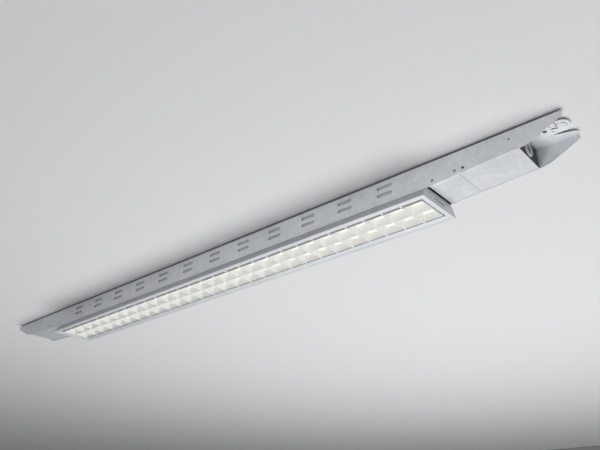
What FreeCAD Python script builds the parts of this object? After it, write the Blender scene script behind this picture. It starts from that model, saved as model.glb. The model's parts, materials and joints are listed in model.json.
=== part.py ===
import FreeCAD, Part
import math
import os
import re
import Sketcher

# High bay light on a ceiling trunking, in millimetres.
# The origin is the centre of the channel's top face, which lies against the ceiling.
# +X runs along the trunking, +Z points up, and the light shines down.

SIZES = [
    # trunking channel
    ("trunk_width", 100, "outside width of the channel"),
    ("trunk_height", 57, "height of the channel's walls"),
    ("trunk_gauge", 1, "sheet thickness of the channel"),
    ("trunk_bend", 2, "outside bend radius of the channel"),
    ("mouth_inset", 70.5, "channel end to the corner where the mouth starts to slant"),
    ("mouth_round", 90, "radius of that corner"),
    ("tip_height", 12, "wall height left at the channel's tip"),
    ("tip_round", 6, "radius of the tip's lower corner"),
    ("vent_groups", 12, "pairs of vent slots along each wall"),
    ("vent_margin", 104.5, "lamp housing's end to the middle of the first pair"),
    ("vent_length", 40.5, "length of a vent slot"),
    ("vent_breadth", 8.4, "height of a vent slot"),
    ("vent_corner", 2.6, "cut at each corner of a vent slot"),
    ("vent_upper_drop", 16.3, "top face to the upper slot's middle"),
    ("vent_lower_drop", 34.5, "top face to the lower slot's middle"),
    # ends of the web
    ("notch_depth", 40, "depth of the two notches beside the tongue"),
    ("notch_gap", 2, "width of a notch at its root"),
    ("tongue_width", 41, "width of the rounded tongue"),
    ("tongue_inset", 1.4, "channel end to the tongue's end"),
    ("tongue_round", 17, "corner radius of the tongue"),
    ("lug_width", 14, "width of the web's outer strips at the tip"),
    ("lug_round", 8, "corner radius of these strips"),
    ("dimple_inset", 19, "channel end to the dimple's middle"),
    ("dimple_radius", 11.5, "outside radius of the pressed dimple"),
    ("dimple_depth", 1.6, "depth of the pressed dimple"),
    ("cross_slot_inset", 25, "channel end to the tongue's cross slot"),
    ("cross_slot_width", 2, "width of the cross slot"),
    ("cross_slot_depth", 16.5, "depth of the cross slot from the tongue's edge"),
    ("tie_slot_inset", 32, "channel end to the tie slot's middle"),
    ("tie_slot_length", 14, "length of the tie slot"),
    ("tie_slot_width", 5, "width of the tie slot"),
    ("pin_hole_inset", 37.5, "channel end to the pair of pin holes"),
    ("pin_hole_spread", 20, "distance between the pin holes"),
    ("pin_hole_radius", 1.75, "radius of a pin hole"),
    ("fixing_inset", 50.5, "channel end to the first ceiling fixing hole"),
    ("fixing_step", 15, "first to second ceiling fixing hole"),
    ("fixing_radius", 4.5, "radius of a ceiling fixing hole"),
    # bottom covers
    ("short_cover_length", 74.5, "lamp housing to the seam between the covers"),
    ("long_cover_length", 127.5, "that seam to the outer end of the long cover"),
    ("mouth_length", 88.5, "outer end of the long cover to the channel's end"),
    ("lamp_gap", 4.5, "gap between the lamp housing and the short cover"),
    ("cover_end_height", 46.7, "wall height at that end"),
    ("cover_gauge", 1, "sheet thickness of the covers"),
    ("cover_bend", 1.8, "outside bend radius of the covers"),
    ("cover_clearance", 0.3, "gap between a cover and the channel's walls"),
    ("cover_side", 22, "height of a cover's side flanges"),
    ("cover_seam", 0.6, "gap between neighbouring covers"),
    ("end_flange_gap", 2.5, "gap between a cover's end flange and the web"),
    ("rivet_edge", 10.5, "wall's lower edge to a rivet's middle"),
    ("rivet_lamp_inset", 13, "lamp housing's end to the first rivet's middle"),
    ("rivet_seam_inset", 9.5, "seam between the covers to the second rivet's middle"),
    ("rivet_radius", 2, "radius of a rivet's shank"),
    ("rivet_head_radius", 3.6, "radius of a rivet's head"),
    ("rivet_head_height", 1.2, "height of a rivet's head"),
    ("rivet_clearance", 0.1, "gap round a rivet's shank"),
    ("latch_hole_offset", 9, "seam to the open round hole in the wall"),
    ("latch_hole_radius", 3, "radius of that hole"),
    ("side_hole_inset", 105.5, "channel end to the small hole in the wall"),
    ("side_hole_drop", 19, "top face to the small hole in the wall"),
    ("side_hole_radius", 2, "radius of the small hole in the wall"),
    ("bush_drop", 23, "top face to the cable bush's axis"),
    ("bush_radius", 18, "outside radius of the cable bush"),
    ("bush_neck_radius", 15, "radius of the bush where it sits in the flange"),
    ("bush_bore_radius", 11, "radius of the bush's cable hole"),
    ("bush_lip", 2.2, "thickness of each of the bush's lips"),
    ("bush_clearance", 0.1, "gap round the bush's neck"),
    # lamp housing
    ("lamp_length", 1419, "length of the lamp housing over its end plates"),
    ("lamp_gauge", 1, "sheet thickness of the lamp housing"),
    ("shoulder_width", 126, "width where the flared side turns down"),
    ("shoulder_drop", 15, "housing's top to that turn"),
    ("lamp_width", 137, "width of the housing's mouth"),
    ("lamp_depth", 25, "depth of the folded housing"),
    ("lamp_bend", 1.6, "outside bend radius of the housing"),
    ("lamp_lip", 9, "width of the housing's inward lips"),
    ("end_plate_gauge", 1.5, "thickness of an end plate"),
    ("end_slot_length", 44, "length of an end plate's slot"),
    ("end_slot_breadth", 4, "height of an end plate's slot"),
    ("end_slot_drop", 14.5, "housing's top to the end plate's slot"),
    ("end_foot_drop", 1, "how far an end plate reaches below the bezel"),
    ("end_tab_length", 18, "length of an end plate's fixing tab"),
    ("end_tab_width", 60, "width of an end plate's fixing tab"),
    ("end_rivet_spread", 40, "distance between an end plate's rivets"),
    # bezel frame
    ("bezel_edge", 0.8, "thickness of the bezel at its outer edge"),
    ("bezel_crown", 0.7, "how far its ridge lies below its outer edge"),
    ("bezel_ridge", 1, "width of the ridge"),
    ("bezel_side", 12, "width from outer edge to ridge along the sides"),
    ("bezel_end", 9.5, "width from outer edge to ridge at the ends"),
    ("bezel_rise", 4, "height of the slope from the ridge up to the inner edge"),
    ("bezel_side_slope", 6.5, "breadth of that slope along the sides"),
    ("bezel_end_slope", 2.5, "breadth of that slope at the ends"),
    ("bezel_flange", 2.3, "width of the slope's flat top edge"),
    ("clip_clearance", 0.3, "gap between a bezel clip and the housing's lip"),
    ("clip_count", 6, "spring clips along each side of the bezel"),
    ("clip_width", 18, "width of a bezel clip"),
    ("clip_gauge", 0.6, "thickness of a bezel clip"),
    ("clip_reach", 6, "height of a bezel clip"),
    # louvre
    ("cell_columns", 28, "cells in each row of the louvre"),
    ("louvre_margin", 18.6, "lamp housing's end to the first cell"),
    ("louvre_gap", 4.5, "gap between the louvre's lower edge and the bezel's slope"),
    ("louvre_lift", 2.5, "bezel's ridge to the louvre's lower edge"),
    ("blade_thickness", 2.2, "thickness of the louvre's blades at their lower edge"),
    ("blade_taper", 4, "slope of a cell's walls in degrees"),
    ("louvre_rim", 1.5, "thickness of the louvre's outer wall at its lower edge"),
    ("louvre_draft", 3, "slope of the louvre's outer wall in degrees"),
    ("hanger_width", 2.4, "width of the hangers that rest on the bezel"),
    ("hanger_height", 1.6, "thickness of these hangers"),
    ("hanger_seat", 1.5, "how far a hanger reaches over the bezel"),
    # heat plate and LED boards
    ("heat_plate_margin", 4, "edge of the housing's flat top to the heat plate's side"),
    ("heat_plate_gauge", 4, "thickness of the heat plate"),
    ("board_count", 5, "LED boards in each row"),
    ("board_margin", 19, "lamp housing's end to the first LED board"),
    ("board_gap", 0.8, "gap between LED boards"),
    ("board_side_margin", 1.6, "heat plate's side to an LED board's side"),
    ("board_gauge", 1.6, "thickness of an LED board"),
    ("board_row_gap", 0.8, "gap between the two rows of LED boards"),
    # gear tray and what it carries
    ("tray_margin", 19.5, "lamp housing's end to the gear tray"),
    ("tray_gap", 1.8, "gap between the gear tray and the channel's walls"),
    ("tray_gauge", 0.8, "sheet thickness of the gear tray"),
    ("tray_bend", 1.6, "outside bend radius of the gear tray"),
    ("tray_side", 48, "height of the gear tray's sides"),
    ("tray_screw_count", 4, "screws in each row that holds tray, housing and heat plate"),
    ("tray_screw_margin", 79.5, "lamp housing's end to the first of these screws"),
    ("tray_screw_spread", 64, "distance between the two rows of these screws"),
    ("screw_radius", 2, "radius of a screw's shank"),
    ("screw_head_radius", 3.8, "radius of a screw's head"),
    ("screw_head_height", 2.4, "height of a screw's head"),
    ("screw_clearance", 0.1, "gap round a screw's shank"),
    ("spring_count", 5, "spring clips along each side of the tray"),
    ("spring_margin", 49.5, "lamp housing's end to the first spring clip"),
    ("spring_width", 20, "width of a spring clip"),
    ("spring_gauge", 0.6, "thickness of a spring clip"),
    ("spring_height", 24, "height of a spring clip"),
    ("driver_length", 360, "length of an LED driver"),
    ("driver_width", 42, "width of an LED driver"),
    ("driver_height", 30, "height of an LED driver"),
    ("driver_round", 2.5, "corner radius of an LED driver"),
    ("driver_inset", 409.5, "lamp housing's end to a driver's middle"),
    ("driver_ear", 14, "length of a driver's fixing ears"),
    ("driver_ear_gauge", 2, "thickness of a driver's fixing ears"),
    ("block_length", 62, "length of the terminal block"),
    ("block_width", 24, "width of the terminal block"),
    ("block_height", 20, "height of the terminal block"),
    ("block_ways", 5, "ways in the terminal block"),
    ("block_way_pitch", 11, "distance between the ways"),
    ("block_inset", 149.5, "lamp housing's end to the terminal block's middle"),
    ("earth_inset", 89.5, "lamp housing's end to the earth screw"),
    ("cut_margin", 5, "how far a cutter reaches past what it cuts"),
]

# Places worked out from the sizes above, as expressions for setExpression.
LAMP_X = "(lamp_length / 2)"
SEAM_X = f"({LAMP_X} + short_cover_length)"
COVER_X = f"({SEAM_X} + long_cover_length)"
TIP_X = f"({COVER_X} + mouth_length)"
TAPER = f"((trunk_height - cover_end_height) / ({COVER_X} - {LAMP_X}))"
LAMP_TOP = "(-trunk_height)"
LAMP_INNER_TOP = "(-trunk_height - lamp_gauge)"
LAMP_LIP_Z = "(-trunk_height - lamp_depth)"
BEZEL_EDGE_Z = f"({LAMP_LIP_Z} - bezel_edge)"
BEZEL_Z = f"({BEZEL_EDGE_Z} - bezel_crown)"
BEZEL_TOP_Z = f"({BEZEL_Z} + bezel_rise)"
OPENING_Y = "(lamp_width / 2 - bezel_side)"
OPENING_X = f"({LAMP_X} - end_plate_gauge - bezel_end)"
THROAT_Y = f"({OPENING_Y} - bezel_side_slope)"
THROAT_X = f"({OPENING_X} - bezel_end_slope)"
BOARD_Z = f"({LAMP_INNER_TOP} - heat_plate_gauge - board_gauge)"
LOUVRE_Y = f"({THROAT_Y} - louvre_gap)"
LOUVRE_Z = f"({BEZEL_Z} + louvre_lift)"
PLATE_Y = "(trunk_width / 2 - heat_plate_margin)"
BOARD_WIDTH = f"({PLATE_Y} - board_side_margin - board_row_gap / 2)"
BLOCK_X = f"({LAMP_X} - block_inset)"
TRAY_Z = f"({LAMP_TOP} + tray_gauge)"
TRAY_Y = "(trunk_width / 2 - trunk_gauge - tray_gap)"
COVER_Y = "(trunk_width / 2 - trunk_gauge - cover_clearance)"
VENT_PITCH = "((lamp_length - 2 * vent_margin) / (vent_groups - 1))"
CELL_PITCH = "((lamp_length - 2 * louvre_margin) / cell_columns)"
BOARD_PITCH = "((lamp_length - 2 * board_margin) / board_count)"
SCREW_PITCH = "((lamp_length - 2 * tray_screw_margin) / (tray_screw_count - 1))"
SPRING_PITCH = "((lamp_length - 2 * spring_margin) / (spring_count - 1))"

# Small fasteners have this many sides.
FASTENER_SIDES = 8

doc = FreeCAD.newDocument("high_bay_light")
sheet = doc.addObject("Spreadsheet::Sheet", "dims")
for row, (alias, size, note) in enumerate(SIZES, 1):
    sheet.set(f"A{row}", note)
    sheet.set(f"B{row}", str(size))
    sheet.setAlias(f"B{row}", alias)
doc.recompute()

CELLS = {alias for alias, size, note in SIZES}
NODES = []


def tie(text):
    """An expression over the sheet's cells, as setExpression wants it."""
    text = str(text)
    return re.sub(r"[a-z_]+", lambda word: ("dims." if word[0] in CELLS else "") + word[0], text)


def value(text):
    """The number that an expression over the sheet's cells has now."""
    return float(sheet.evalExpression(tie(text)))


def wall_foot(x):
    """Height of the channel wall's lower edge at x, past the lamp housing, where it rises."""
    return f"({LAMP_TOP} + (({x}) - {LAMP_X}) * {TAPER})"


def new_body(name):
    """An empty body that becomes the node of this name."""
    body = doc.addObject("PartDesign::Body", name)
    body.Label = name
    NODES.append(body)
    return body


def origin_plane(body, role):
    """One of the body's own origin planes, by its role."""
    return next(item for item in body.Origin.OriginFeatures if item.Role == role)


def new_sketch(body, name, role, lift="0"):
    """A sketch on an origin plane of the body, lifted along the plane's normal."""
    sketch = body.newObject("Sketcher::SketchObject", f"{body.Name}_{name}")
    sketch.AttachmentSupport = [(origin_plane(body, role), "")]
    sketch.MapMode = "FlatFace"
    sketch.setExpression("AttachmentOffset.Base.z", tie(lift))
    return sketch


def constrain(sketch, rules):
    """Add rules (kind, where, size) together. A size is an expression, or None."""
    made = []
    for kind, where, size in rules:
        numbers = where if size is None else (*where, value(size))
        made.append(Sketcher.Constraint(kind, *numbers))
    first = sketch.ConstraintCount
    sketch.addConstraint(made)
    for number, (kind, where, size) in enumerate(rules, first):
        if size is not None:
            sketch.renameConstraint(number, f"size{number}")
            sketch.setExpression(f"Constraints.size{number}", tie(size))


def placing(geometry, point, x, y):
    """Rules that place a point. A literal 0 puts it on the axis."""
    rules = []
    for kind, size, axis in (("DistanceX", x, -2), ("DistanceY", y, -1)):
        if size == "0":
            rules.append(("PointOnObject", (geometry, point, axis), None))
        else:
            rules.append((kind, (-1, 1, geometry, point), size))
    return rules


def round_corner(spot, before, after, radius):
    """The arc that rounds a corner, its two ends, and whether it runs backwards."""
    towards = (before - spot).normalize()
    onwards = (after - spot).normalize()
    reach = radius / math.tan(towards.getAngle(onwards) / 2)
    centre = spot + (towards + onwards).normalize() * math.hypot(radius, reach)
    ends = [spot + towards * reach, spot + onwards * reach]
    turns = [math.atan2(end.y - centre.y, end.x - centre.x) for end in ends]
    backwards = (turns[1] - turns[0]) % (2 * math.pi) > math.pi
    if backwards:
        turns.reverse()
    ring = Part.Circle(centre, FreeCAD.Vector(0, 0, 1), radius)
    if turns[1] < turns[0]:
        turns[1] += 2 * math.pi
    return Part.ArcOfCircle(ring, *turns), ends, backwards


def draw_outline(sketch, corners):
    """A closed outline through corners (x, y) or (x, y, radius), each an expression."""
    spots = [FreeCAD.Vector(value(corner[0]), value(corner[1]), 0) for corner in corners]
    ends = [(spot, spot) for spot in spots]
    rules = []
    arcs = {}
    for index, corner in enumerate(corners):
        if len(corner) < 3:
            continue
        after = spots[(index + 1) % len(spots)]
        arc, ends[index], backwards = round_corner(
            spots[index], spots[index - 1], after, value(corner[2])
        )
        number = sketch.addGeometry(arc, False)
        arcs[index] = (number, 2, 1) if backwards else (number, 1, 2)
    lines = []
    for index in range(len(corners)):
        start, stop = ends[index][1], ends[(index + 1) % len(corners)][0]
        lines.append(sketch.addGeometry(Part.LineSegment(start, stop), False))
    for index, corner in enumerate(corners):
        come, leave = lines[index - 1], lines[index]
        if index not in arcs:
            rules.append(("Coincident", (come, 2, leave, 1), None))
            rules.extend(placing(leave, 1, corner[0], corner[1]))
            continue
        arc, first, last = arcs[index]
        dot = sketch.addGeometry(Part.Point(spots[index]), True)
        rules.append(("Tangent", (come, 2, arc, first), None))
        rules.append(("Tangent", (arc, last, leave, 1), None))
        rules.append(("PointOnObject", (dot, 1, come), None))
        rules.append(("PointOnObject", (dot, 1, leave), None))
        rules.extend(placing(dot, 1, corner[0], corner[1]))
        rules.append(("Radius", (arc,), corner[2]))
    constrain(sketch, rules)


def draw_rectangle(sketch, low_x, high_x, low_y, high_y):
    """A rectangle between two expressions each way."""
    draw_outline(sketch, [(low_x, low_y), (high_x, low_y), (high_x, high_y), (low_x, high_y)])


def draw_circle(sketch, x, y, radius):
    """A circle about (x, y)."""
    middle = FreeCAD.Vector(value(x), value(y), 0)
    normal = FreeCAD.Vector(0, 0, 1)
    ring = sketch.addGeometry(Part.Circle(middle, normal, value(radius)), False)
    constrain(sketch, [*placing(ring, 3, x, y), ("Radius", (ring,), radius)])


def draw_polygon(sketch, x, y, radius):
    """A small fastener's outline: a regular polygon about (x, y), corners at the radius."""
    corners = []
    for index in range(FASTENER_SIDES):
        turn = 2 * math.pi * (index + 0.5) / FASTENER_SIDES
        across, along = math.cos(turn), math.sin(turn)
        corners.append((f"({x}) + ({radius}) * {across:.6f}", f"({y}) + ({radius}) * {along:.6f}"))
    draw_outline(sketch, corners)


def draw_cut_slot(sketch, x, y, length, breadth, corner):
    """A slot about (x, y) with cut corners, longer along the sketch's x axis."""
    corners = []
    for side, rise in ((1, -1), (1, 1), (-1, 1), (-1, -1)):
        tall = (f"({x}) + {side} * ({length}) / 2",
                f"({y}) + {rise} * (({breadth}) / 2 - ({corner}))")
        flat = (f"({x}) + {side} * (({length}) / 2 - ({corner}))",
                f"({y}) + {rise} * ({breadth}) / 2")
        corners.extend((flat, tall) if side * rise < 0 else (tall, flat))
    draw_outline(sketch, corners)


def draw_slot(sketch, x, y, length, breadth):
    """A round-ended slot about (x, y), longer along the sketch's x axis."""
    radius, reach = f"({breadth}) / 2", f"(({length}) - ({breadth})) / 2"
    rounds = []
    for side, turn in ((1, -math.pi / 2), (-1, math.pi / 2)):
        middle = FreeCAD.Vector(value(x) + side * value(reach), value(y), 0)
        ring = Part.Circle(middle, FreeCAD.Vector(0, 0, 1), value(radius))
        arc = Part.ArcOfCircle(ring, turn, turn + math.pi)
        rounds.append(sketch.addGeometry(arc, False))
    right, left = rounds
    lines = []
    for start, stop in ((right, left), (left, right)):
        points = (sketch.Geometry[start].EndPoint, sketch.Geometry[stop].StartPoint)
        lines.append(sketch.addGeometry(Part.LineSegment(*points), False))
    top, bottom = lines
    rules = [
        ("Tangent", (first, 2, second, 1), None)
        for first, second in ((right, top), (top, left), (left, bottom), (bottom, right))
    ]
    rules.extend(placing(right, 3, f"({x}) + {reach}", y))
    rules.append(("DistanceX", (left, 3, right, 3), f"2 * {reach}"))
    rules.append(("Radius", (right,), radius))
    constrain(sketch, rules)


def pad(body, sketch, length, both_ways=False, backwards=False):
    """Push the sketch into a solid."""
    feature = body.newObject("PartDesign::Pad", f"{sketch.Name}_pad")
    feature.Profile = sketch
    feature.SideType = "Symmetric" if both_ways else "One side"
    feature.Reversed = backwards
    feature.setExpression("Length", tie(length))
    return feature


def pocket(body, sketch, depth=None, backwards=False):
    """Cut the sketch out, right through both ways unless a depth is given."""
    feature = body.newObject("PartDesign::Pocket", f"{sketch.Name}_cut")
    feature.Profile = sketch
    feature.Reversed = backwards
    if depth is None:
        feature.SideType = "Symmetric"
        feature.Type = "ThroughAll"
    else:
        feature.setExpression("Length", tie(depth))
    return feature


def repeat(body, features, sketch, count, pitch):
    """Copies of the features along the sketch's horizontal axis."""
    row = body.newObject("PartDesign::LinearPattern", f"{features[0].Name}_row")
    row.Originals = features
    row.Direction = (sketch, ["H_Axis"])
    row.setExpression("Length", tie(f"(({count}) - 1) * ({pitch})"))
    row.setExpression("Occurrences", tie(count))
    body.Tip = row
    return row


def mirror(body, features, role):
    """The features again on the other side of an origin plane."""
    copy = body.newObject("PartDesign::Mirrored", f"{features[0].Name}_{role[:2]}")
    copy.Originals = features
    copy.MirrorPlane = (origin_plane(body, role), [""])
    body.Tip = copy
    return copy


def row_start(count, pitch):
    """Where the first of a centred row of copies lies."""
    return f"(-(({count}) - 1) * ({pitch}) / 2)"


def make_channel():
    """The trunking channel: an upside-down U with vented walls and shaped ends."""
    body = new_body("trunking_channel")
    outer, inner = "(trunk_width / 2)", "(trunk_width / 2 - trunk_gauge)"
    inner_bend = "trunk_bend - trunk_gauge"
    section = new_sketch(body, "section", "YZ_Plane")
    draw_outline(section, [
        (f"-{outer}", LAMP_TOP),
        (f"-{outer}", "0", "trunk_bend"),
        (outer, "0", "trunk_bend"),
        (outer, LAMP_TOP),
        (inner, LAMP_TOP),
        (inner, "-trunk_gauge", inner_bend),
        (f"-{inner}", "-trunk_gauge", inner_bend),
        (f"-{inner}", LAMP_TOP),
    ])
    pad(body, section, f"2 * {TIP_X}", both_ways=True)

    vents = new_sketch(body, "vents", "XZ_Plane")
    first_vent = row_start("vent_groups", VENT_PITCH)
    for drop in ("vent_upper_drop", "vent_lower_drop"):
        draw_cut_slot(vents, first_vent, f"-{drop}", "vent_length", "vent_breadth", "vent_corner")
    repeat(body, [pocket(body, vents)], vents, "vent_groups", VENT_PITCH)

    slant = new_sketch(body, "slant", "XZ_Plane")
    corner_x = f"({TIP_X} - mouth_inset)"
    draw_outline(slant, [
        (LAMP_X, LAMP_TOP),
        (corner_x, wall_foot(corner_x), "mouth_round"),
        (TIP_X, "-tip_height", "tip_round"),
        (TIP_X, "cut_margin"),
        (f"{TIP_X} + cut_margin", "cut_margin"),
        (f"{TIP_X} + cut_margin", f"{LAMP_TOP} - cut_margin"),
        (LAMP_X, f"{LAMP_TOP} - cut_margin"),
    ])
    slant_cut = pocket(body, slant)

    half_tongue, root_x = "(tongue_width / 2)", f"({TIP_X} - notch_depth)"
    tongue_x = f"({TIP_X} - tongue_inset)"
    lug_y = "(trunk_width / 2 - lug_width)"
    rim_y = "(trunk_width / 2 - trunk_bend - 2 * trunk_gauge)"
    upper = [
        (f"{TIP_X} + cut_margin", rim_y),
        (TIP_X, rim_y),
        (TIP_X, lug_y, "lug_round"),
        (root_x, f"{half_tongue} + notch_gap"),
        (root_x, half_tongue),
        (tongue_x, half_tongue, "tongue_round"),
    ]
    lower = [(corner[0], f"-({corner[1]})", *corner[2:]) for corner in reversed(upper)]
    notches = new_sketch(body, "notches", "XY_Plane")
    draw_outline(notches, upper + lower)
    notch_cut = pocket(body, notches)

    dimple_x = f"({TIP_X} - dimple_inset)"
    bump = new_sketch(body, "bump", "XY_Plane", "-trunk_gauge")
    draw_circle(bump, dimple_x, "0", "dimple_radius")
    bump_pad = pad(body, bump, "dimple_depth", backwards=True)
    hollow = new_sketch(body, "hollow", "XY_Plane")
    draw_circle(hollow, dimple_x, "0", "dimple_radius - trunk_gauge")
    hollow_cut = pocket(body, hollow, "dimple_depth")

    holes = new_sketch(body, "web_holes", "XY_Plane")
    cross_x = f"({TIP_X} - cross_slot_inset)"
    draw_rectangle(
        holes,
        f"{cross_x} - cross_slot_width / 2", f"{cross_x} + cross_slot_width / 2",
        f"-{half_tongue} - notch_gap / 2", f"-{half_tongue} + cross_slot_depth",
    )
    draw_slot(holes, f"{TIP_X} - tie_slot_inset", "0", "tie_slot_length", "tie_slot_width")
    for side in (1, -1):
        pin_y = f"{side} * pin_hole_spread / 2"
        draw_circle(holes, f"{TIP_X} - pin_hole_inset", pin_y, "pin_hole_radius")
    for step in (0, 1):
        fixing_x = f"{TIP_X} - fixing_inset - {step} * fixing_step"
        draw_circle(holes, fixing_x, "0", "fixing_radius")
    hole_cut = pocket(body, holes)

    wall_holes = new_sketch(body, "wall_holes", "XZ_Plane")
    for x, z in rivet_spots():
        draw_circle(wall_holes, x, z, "rivet_radius + rivet_clearance")
    latch_x = f"({SEAM_X} + latch_hole_offset)"
    draw_circle(wall_holes, latch_x, f"{wall_foot(latch_x)} + rivet_edge", "latch_hole_radius")
    draw_circle(wall_holes, f"{TIP_X} - side_hole_inset", "-side_hole_drop", "side_hole_radius")
    wall_cut = pocket(body, wall_holes)
    ends = [slant_cut, notch_cut, bump_pad, hollow_cut, hole_cut, wall_cut]
    mirror(body, ends, "YZ_Plane")


def rivet_spots():
    """Where the rivets of the right short cover sit, as (x, z)."""
    for x in (f"({LAMP_X} + rivet_lamp_inset)", f"({SEAM_X} - rivet_seam_inset)"):
        yield x, f"({wall_foot(x)} + rivet_edge)"


def draw_cover_section(body, name, side, x):
    """The covers' U section at x, on the channel walls' lower edge."""
    foot = wall_foot(x)
    inner = f"({COVER_Y} - cover_gauge)"
    inner_bend = "cover_bend - cover_gauge"
    sketch = new_sketch(body, name, "YZ_Plane", f"{side} * ({x})")
    draw_outline(sketch, [
        (f"-{COVER_Y}", foot, "cover_bend"),
        (COVER_Y, foot, "cover_bend"),
        (COVER_Y, f"{foot} + cover_side"),
        (inner, f"{foot} + cover_side"),
        (inner, f"{foot} + cover_gauge", inner_bend),
        (f"-{inner}", f"{foot} + cover_gauge", inner_bend),
        (f"-{inner}", f"{foot} + cover_side"),
        (f"-{COVER_Y}", f"{foot} + cover_side"),
    ])
    return sketch


def make_cover(name, side, near_x, far_x):
    """A bottom cover: a shallow U that rises with the channel wall's lower edge."""
    body = new_body(name)
    near = draw_cover_section(body, "near", side, near_x)
    far = draw_cover_section(body, "far", side, far_x)
    loft_between(body, "Additive", "loft", near, far)
    return body


def make_short_cover(name, side):
    """The short cover, with holes for its rivets."""
    near_x = f"({LAMP_X} + lamp_gap)"
    body = make_cover(name, side, near_x, f"({SEAM_X} - cover_seam / 2)")
    holes = new_sketch(body, "rivet_holes", "XZ_Plane")
    for x, z in rivet_spots():
        draw_circle(holes, f"{side} * {x}", z, "rivet_radius + rivet_clearance")
    pocket(body, holes)


def make_long_cover(name, side):
    """The long cover, with an upturned end flange that holds the cable bush."""
    body = make_cover(name, side, f"({SEAM_X} + cover_seam / 2)", COVER_X)
    flange = new_sketch(body, "flange", "YZ_Plane", f"{side} * {COVER_X}")
    foot = wall_foot(COVER_X)
    draw_outline(flange, [
        (f"-{COVER_Y}", foot, "cover_bend"),
        (COVER_Y, foot, "cover_bend"),
        (COVER_Y, "-trunk_gauge - end_flange_gap"),
        (f"-{COVER_Y}", "-trunk_gauge - end_flange_gap"),
    ])
    draw_circle(flange, "0", "-bush_drop", "bush_neck_radius + bush_clearance")
    pad(body, flange, "cover_gauge", backwards=side > 0)


def make_bush(name, side):
    """A two-lipped plastic bush in the long cover's end flange."""
    body = new_body(name)
    sketch = new_sketch(body, "section", "XZ_Plane")
    sketch.setExpression("AttachmentOffset.Base.y", tie("-bush_drop"))
    outer_x, inner_x = COVER_X, f"({COVER_X} - cover_gauge)"
    corners = [
        (f"{inner_x} - bush_lip", "bush_bore_radius"),
        (f"{outer_x} + bush_lip", "bush_bore_radius"),
        (f"{outer_x} + bush_lip", "bush_radius"),
        (outer_x, "bush_radius"),
        (outer_x, "bush_neck_radius"),
        (inner_x, "bush_neck_radius"),
        (inner_x, "bush_radius - bush_lip / 2"),
        (f"{inner_x} - bush_lip", "bush_radius - bush_lip / 2"),
    ]
    draw_outline(sketch, [(f"{side} * ({corner[0]})", corner[1]) for corner in corners])
    turn = body.newObject("PartDesign::Revolution", f"{name}_turn")
    turn.Profile = sketch
    turn.ReferenceAxis = (sketch, ["H_Axis"])
    turn.Angle = 360


def make_rivets():
    """Rivets through the channel's walls and the short covers' flanges."""
    body = new_body("cover_rivets")
    wall_y, inner_y = "(trunk_width / 2)", f"({COVER_Y} - cover_gauge)"
    features = []
    for name, y, radius, length in (
        ("head", wall_y, "rivet_head_radius", "rivet_head_height"),
        ("shank", inner_y, "rivet_radius", f"{wall_y} - {inner_y}"),
    ):
        sketch = new_sketch(body, name, "XZ_Plane", f"{y}")
        for x, z in rivet_spots():
            draw_polygon(sketch, x, z, radius)
        features.append(pad(body, sketch, length))
    mirror_across(body, features)


def mirror_across(body, features):
    """Copies on the other wall, and then of both at the other end."""
    steps = body.newObject("PartDesign::MultiTransform", f"{body.Name}_all")
    steps.Originals = features
    flips = []
    for role in ("XZ_Plane", "YZ_Plane"):
        flip = body.newObject("PartDesign::Mirrored", f"{body.Name}_{role[:2]}")
        flip.MirrorPlane = (origin_plane(body, role), [""])
        flips.append(flip)
    steps.Transformations = flips
    body.Tip = steps


def housing_outline():
    """Half of the housing's outside: (y, z) from its top edge to its mouth."""
    return [
        ("(trunk_width / 2)", LAMP_TOP),
        ("(shoulder_width / 2)", f"({LAMP_TOP} - shoulder_drop)"),
        ("(lamp_width / 2)", LAMP_LIP_Z),
    ]


def make_housing():
    """The lamp housing: folded sheet with flared sides and inward lips at its mouth."""
    body = new_body("lamp_housing")
    (top_y, top_z), (turn_y, turn_z), (foot_y, foot_z) = housing_outline()
    gauge, bend, inner_bend = "lamp_gauge", "lamp_bend", "lamp_bend - lamp_gauge"
    lip_y = f"({foot_y} - lamp_lip)"
    # A flared side's inner line lies one gauge in from its outer line, measured square to it.
    flare = f"sqrt(({turn_y} - {top_y}) ^ 2 + shoulder_drop ^ 2)"
    flare_in = f"(({flare} - ({turn_y} - {top_y})) / shoulder_drop * lamp_gauge)"
    fall = f"({turn_z} - {foot_z})"
    side = f"sqrt(({foot_y} - {turn_y}) ^ 2 + {fall} ^ 2)"
    side_in = f"(({side} + ({foot_y} - {turn_y})) / {fall} * lamp_gauge)"
    half = [
        (top_y, top_z, bend),
        (turn_y, turn_z, bend),
        (foot_y, foot_z, bend),
        (lip_y, foot_z),
        (lip_y, f"{foot_z} + {gauge}"),
        (f"{foot_y} - {side_in}", f"{foot_z} + {gauge}", inner_bend),
        (f"{turn_y} - {gauge}", turn_z),
        (f"{top_y} - {flare_in}", f"{top_z} - {gauge}", inner_bend),
    ]
    outer, inner = half[:5], half[5:]
    mirrored = [(f"-({corner[0]})", *corner[1:]) for corner in half]
    section = new_sketch(body, "section", "YZ_Plane")
    draw_outline(section, [
        *outer, *inner, *reversed(mirrored[5:]), *reversed(mirrored[:5]),
    ])
    pad(body, section, "lamp_length - 2 * end_plate_gauge", both_ways=True)
    add_screw_holes(body, "screw_radius + screw_clearance")
    add_tab_holes(body)


def add_screw_holes(body, radius):
    """Holes for the screws that hold tray, housing and heat plate together."""
    holes = new_sketch(body, "screw_holes", "XY_Plane")
    for x, y in first_screw_spots():
        draw_circle(holes, x, y, radius)
    repeat(body, [pocket(body, holes)], holes, "tray_screw_count", SCREW_PITCH)


def first_screw_spots():
    """Where the first screw of each row sits, as (x, y)."""
    for side in (1, -1):
        yield row_start("tray_screw_count", SCREW_PITCH), f"{side} * tray_screw_spread / 2"


def tab_rivet_x():
    """Distance of the end plates' rivets from the lamp's middle."""
    return f"({LAMP_X} - end_tab_length / 2)"


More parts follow.
